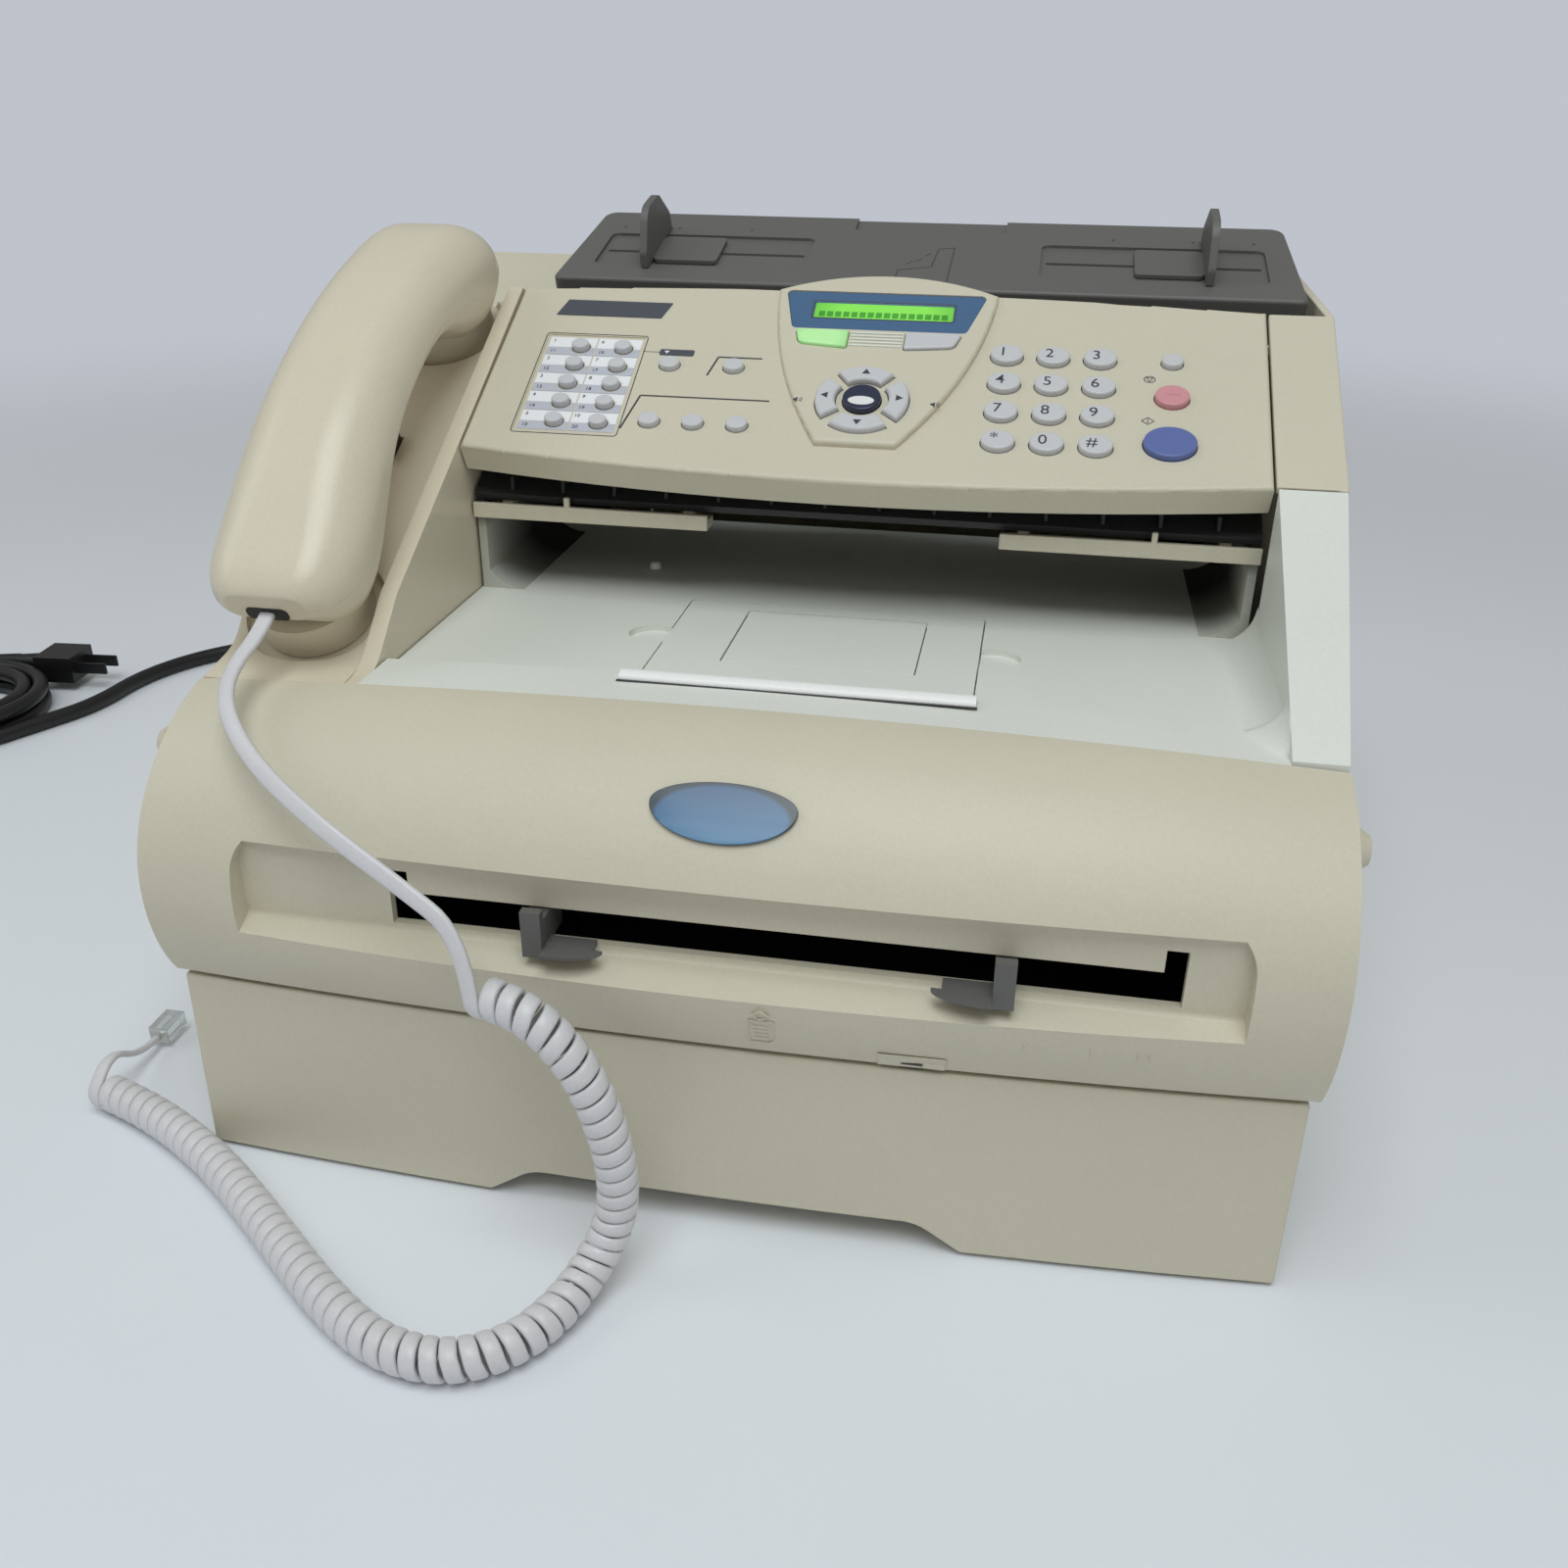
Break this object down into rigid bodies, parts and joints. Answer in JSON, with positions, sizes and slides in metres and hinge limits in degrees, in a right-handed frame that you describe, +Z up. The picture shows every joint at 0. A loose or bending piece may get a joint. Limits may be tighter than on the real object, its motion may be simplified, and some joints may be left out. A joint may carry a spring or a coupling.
{
  "type": "laser fax machine",
  "caption": "Desktop laser fax machine with a sloping key panel, corded handset in a side cradle, paper cassette, manual feed slot, sunken output tray and document tray.",
  "frame": {"origin": "on the table under the middle of the machine, without its cords", "axes": "+X to the user's right, +Y to the back, +Z up"},
  "size_m": [0.735, 0.5505, 0.2802],
  "materials": {
    "housing": "fine spark texture",
    "tray": "fine spark texture",
    "cream": "satin",
    "chassis_black": "moulded",
    "dark_grey": "fine spark texture",
    "key_grey": "satin",
    "start_blue": "satin",
    "stop_pink": "satin",
    "navy": "satin",
    "display": "lit",
    "badge": "domed and glossy",
    "rubber": "matt",
    "mains_black": "satin",
    "cord_grey": "satin",
    "clear": "clear",
    "drum_coat": "mirror smooth"
  },
  "bodies": {
    "chassis": {"base_frame": "chassis_black", "rubber_feet": "rubber", "side_cover_left": "housing", "side_cover_right": "housing", "rear_cover": "housing", "top_cover": "tray", "handset_cradle": "cream", "document_chute": "chassis_black", "document_exit_supports": "housing", "image_sensor": "chassis_black", "document_tray": "dark_grey", "imaging_unit": "chassis_black", "fuser_unit": "chassis_black", "power_strain_relief": "mains_black", "power_cord": "mains_black", "power_cord_coil": "mains_black", "power_plug": "mains_black"},
    "handset": {"handset_body": "cream", "handset_cover": "cream", "handset_cord_lead": "cord_grey", "handset_cord_curl": "cord_grey", "handset_plug": "clear"},
    "hook_switch": {"hook_switch": "chassis_black"},
    "panel": {"panel_cover": "housing", "lcd_window": "display"},
    "front_cover": {"front_cover": "housing", "front_badge": "badge"},
    "manual_guide_left": {"manual_guide_left": "dark_grey"},
    "manual_guide_right": {"manual_guide_right": "dark_grey"},
    "paper_cassette": {"paper_cassette": "housing"},
    "rear_door": {"rear_door": "housing"},
    "document_guide_left": {"document_guide_left": "dark_grey"},
    "document_guide_right": {"document_guide_right": "dark_grey"},
    "output_flap": {"output_flap": "tray"},
    "output_flap_extension": {"output_flap_extension": "tray"},
    "photoconductor_drum": {"photoconductor_drum": "drum_coat"},
    "key_0": {"key_0": "key_grey"},
    "key_1": {"key_1": "key_grey"},
    "key_2": {"key_2": "key_grey"},
    "key_3": {"key_3": "key_grey"},
    "key_4": {"key_4": "key_grey"},
    "key_5": {"key_5": "key_grey"},
    "key_6": {"key_6": "key_grey"},
    "key_7": {"key_7": "key_grey"},
    "key_8": {"key_8": "key_grey"},
    "key_9": {"key_9": "key_grey"},
    "key_star": {"key_star": "key_grey"},
    "key_hash": {"key_hash": "key_grey"},
    "menu_key": {"menu_key": "navy"},
    "report_key": {"report_key": "key_grey"},
    "stop_key": {"stop_key": "stop_pink"},
    "start_key": {"start_key": "start_blue"},
    "arrow_key_right": {"arrow_key_right": "key_grey"},
    "arrow_key_up": {"arrow_key_up": "key_grey"},
    "arrow_key_left": {"arrow_key_left": "key_grey"},
    "arrow_key_down": {"arrow_key_down": "key_grey"},
    "fax_mode_key": {"fax_mode_key": "key_grey"},
    "copy_mode_key": {"copy_mode_key": "key_grey"},
    "one_touch_keys": {"one_touch_keys": "key_grey"},
    "function_keys": {"function_keys": "key_grey"}
  },
  "joints": [
    {"name": "front_cover_hinge", "type": "hinge", "parent": "chassis", "child": "front_cover", "pos_m": [0, -0.1775, 0.0715], "axis": [1, 0, 0], "range_deg": [0, 80], "deforming": ["handset_cord_lead", "handset_cord_curl"]},
    {"name": "manual_guide_left_slide", "type": "slide", "parent": "front_cover", "child": "manual_guide_left", "axis": [-1, 0, 0], "range_m": [-0.015, 0.041]},
    {"name": "manual_guide_right_slide", "type": "slide", "parent": "front_cover", "child": "manual_guide_right", "axis": [-1, 0, 0], "range_m": [-0.041, 0.015]},
    {"name": "cassette_slide", "type": "slide", "parent": "chassis", "child": "paper_cassette", "axis": [0, -1, 0], "range_m": [0, 0.25], "deforming": ["handset_cord_lead", "handset_cord_curl"]},
    {"name": "rear_door_hinge", "type": "hinge", "parent": "chassis", "child": "rear_door", "pos_m": [0.015, 0.1855, 0.064], "axis": [-1, 0, 0], "range_deg": [0, 80]},
    {"name": "panel_hinge", "type": "hinge", "parent": "chassis", "child": "panel", "pos_m": [0.018, 0.03881, 0.23855], "axis": [-1, 0, 0], "range_deg": [0, 25]},
    {"name": "document_guide_left_slide", "type": "slide", "parent": "chassis", "child": "document_guide_left", "axis": [-1, 0, 0], "range_m": [-0.034, 0.02]},
    {"name": "document_guide_right_slide", "type": "slide", "parent": "chassis", "child": "document_guide_right", "axis": [-1, 0, 0], "range_m": [-0.02, 0.034]},
    {"name": "output_flap_hinge", "type": "hinge", "parent": "chassis", "child": "output_flap", "pos_m": [0.0135, -0.103, 0.1485], "axis": [1, 0, 0], "range_deg": [0, 105]},
    {"name": "output_flap_extension_hinge", "type": "hinge", "parent": "output_flap", "child": "output_flap_extension", "pos_m": [0.015, -0.0322, 0.1486], "axis": [-1, 0, 0], "range_deg": [0, 70]},
    {"name": "handset_lift", "type": "slide", "parent": "chassis", "child": "handset", "axis": [0, -0.4848, 0.8746], "range_m": [0, 0.12]},
    {"name": "hook_switch_slide", "type": "slide", "parent": "chassis", "child": "hook_switch", "axis": [0, -0.4848, 0.8746], "range_m": [0, 0.003], "stiffness_N_per_m": 150, "springref_m": 0.003},
    {"name": "drum_spin", "type": "hinge", "parent": "chassis", "child": "photoconductor_drum", "pos_m": [0.017, -0.02, 0.092], "axis": [1, 0, 0], "continuous": true},
    {"name": "key_0_press", "type": "slide", "parent": "panel", "child": "key_0", "axis": [0, 0.4848, -0.8746], "range_m": [0, 0.001], "stiffness_N_per_m": 400},
    {"name": "key_1_press", "type": "slide", "parent": "panel", "child": "key_1", "axis": [0, 0.4848, -0.8746], "range_m": [0, 0.001], "stiffness_N_per_m": 400},
    {"name": "key_2_press", "type": "slide", "parent": "panel", "child": "key_2", "axis": [0, 0.4848, -0.8746], "range_m": [0, 0.001], "stiffness_N_per_m": 400},
    {"name": "key_3_press", "type": "slide", "parent": "panel", "child": "key_3", "axis": [0, 0.4848, -0.8746], "range_m": [0, 0.001], "stiffness_N_per_m": 400},
    {"name": "key_4_press", "type": "slide", "parent": "panel", "child": "key_4", "axis": [0, 0.4848, -0.8746], "range_m": [0, 0.001], "stiffness_N_per_m": 400},
    {"name": "key_5_press", "type": "slide", "parent": "panel", "child": "key_5", "axis": [0, 0.4848, -0.8746], "range_m": [0, 0.001], "stiffness_N_per_m": 400},
    {"name": "key_6_press", "type": "slide", "parent": "panel", "child": "key_6", "axis": [0, 0.4848, -0.8746], "range_m": [0, 0.001], "stiffness_N_per_m": 400},
    {"name": "key_7_press", "type": "slide", "parent": "panel", "child": "key_7", "axis": [0, 0.4848, -0.8746], "range_m": [0, 0.001], "stiffness_N_per_m": 400},
    {"name": "key_8_press", "type": "slide", "parent": "panel", "child": "key_8", "axis": [0, 0.4848, -0.8746], "range_m": [0, 0.001], "stiffness_N_per_m": 400},
    {"name": "key_9_press", "type": "slide", "parent": "panel", "child": "key_9", "axis": [0, 0.4848, -0.8746], "range_m": [0, 0.001], "stiffness_N_per_m": 400},
    {"name": "key_star_press", "type": "slide", "parent": "panel", "child": "key_star", "axis": [0, 0.4848, -0.8746], "range_m": [0, 0.001], "stiffness_N_per_m": 400},
    {"name": "key_hash_press", "type": "slide", "parent": "panel", "child": "key_hash", "axis": [0, 0.4848, -0.8746], "range_m": [0, 0.001], "stiffness_N_per_m": 400},
    {"name": "menu_key_press", "type": "slide", "parent": "panel", "child": "menu_key", "axis": [0, 0.4848, -0.8746], "range_m": [0, 0.001], "stiffness_N_per_m": 400},
    {"name": "report_key_press", "type": "slide", "parent": "panel", "child": "report_key", "axis": [0, 0.4848, -0.8746], "range_m": [0, 0.001], "stiffness_N_per_m": 400},
    {"name": "stop_key_press", "type": "slide", "parent": "panel", "child": "stop_key", "axis": [0, 0.4848, -0.8746], "range_m": [0, 0.001], "stiffness_N_per_m": 400},
    {"name": "start_key_press", "type": "slide", "parent": "panel", "child": "start_key", "axis": [0, 0.4848, -0.8746], "range_m": [0, 0.001], "stiffness_N_per_m": 400},
    {"name": "arrow_key_right_press", "type": "slide", "parent": "panel", "child": "arrow_key_right", "axis": [0, 0.4848, -0.8746], "range_m": [0, 0.001], "stiffness_N_per_m": 400},
    {"name": "arrow_key_up_press", "type": "slide", "parent": "panel", "child": "arrow_key_up", "axis": [0, 0.4848, -0.8746], "range_m": [0, 0.001], "stiffness_N_per_m": 400},
    {"name": "arrow_key_left_press", "type": "slide", "parent": "panel", "child": "arrow_key_left", "axis": [0, 0.4848, -0.8746], "range_m": [0, 0.001], "stiffness_N_per_m": 400},
    {"name": "arrow_key_down_press", "type": "slide", "parent": "panel", "child": "arrow_key_down", "axis": [0, 0.4848, -0.8746], "range_m": [0, 0.001], "stiffness_N_per_m": 400},
    {"name": "fax_mode_key_press", "type": "slide", "parent": "panel", "child": "fax_mode_key", "axis": [0, 0.4848, -0.8746], "range_m": [0, 0.001], "stiffness_N_per_m": 400},
    {"name": "copy_mode_key_press", "type": "slide", "parent": "panel", "child": "copy_mode_key", "axis": [0, 0.4848, -0.8746], "range_m": [0, 0.001], "stiffness_N_per_m": 400},
    {"name": "one_touch_keys_press", "type": "slide", "parent": "panel", "child": "one_touch_keys", "axis": [0, 0.4848, -0.8746], "range_m": [0, 0.001], "stiffness_N_per_m": 400},
    {"name": "function_keys_press", "type": "slide", "parent": "panel", "child": "function_keys", "axis": [0, 0.4848, -0.8746], "range_m": [0, 0.001], "stiffness_N_per_m": 400}
  ],
  "couplings": [
    {"joint": "manual_guide_right_slide", "follows": "manual_guide_left_slide", "ratio": -1},
    {"joint": "document_guide_right_slide", "follows": "document_guide_left_slide", "ratio": -1}
  ]
}
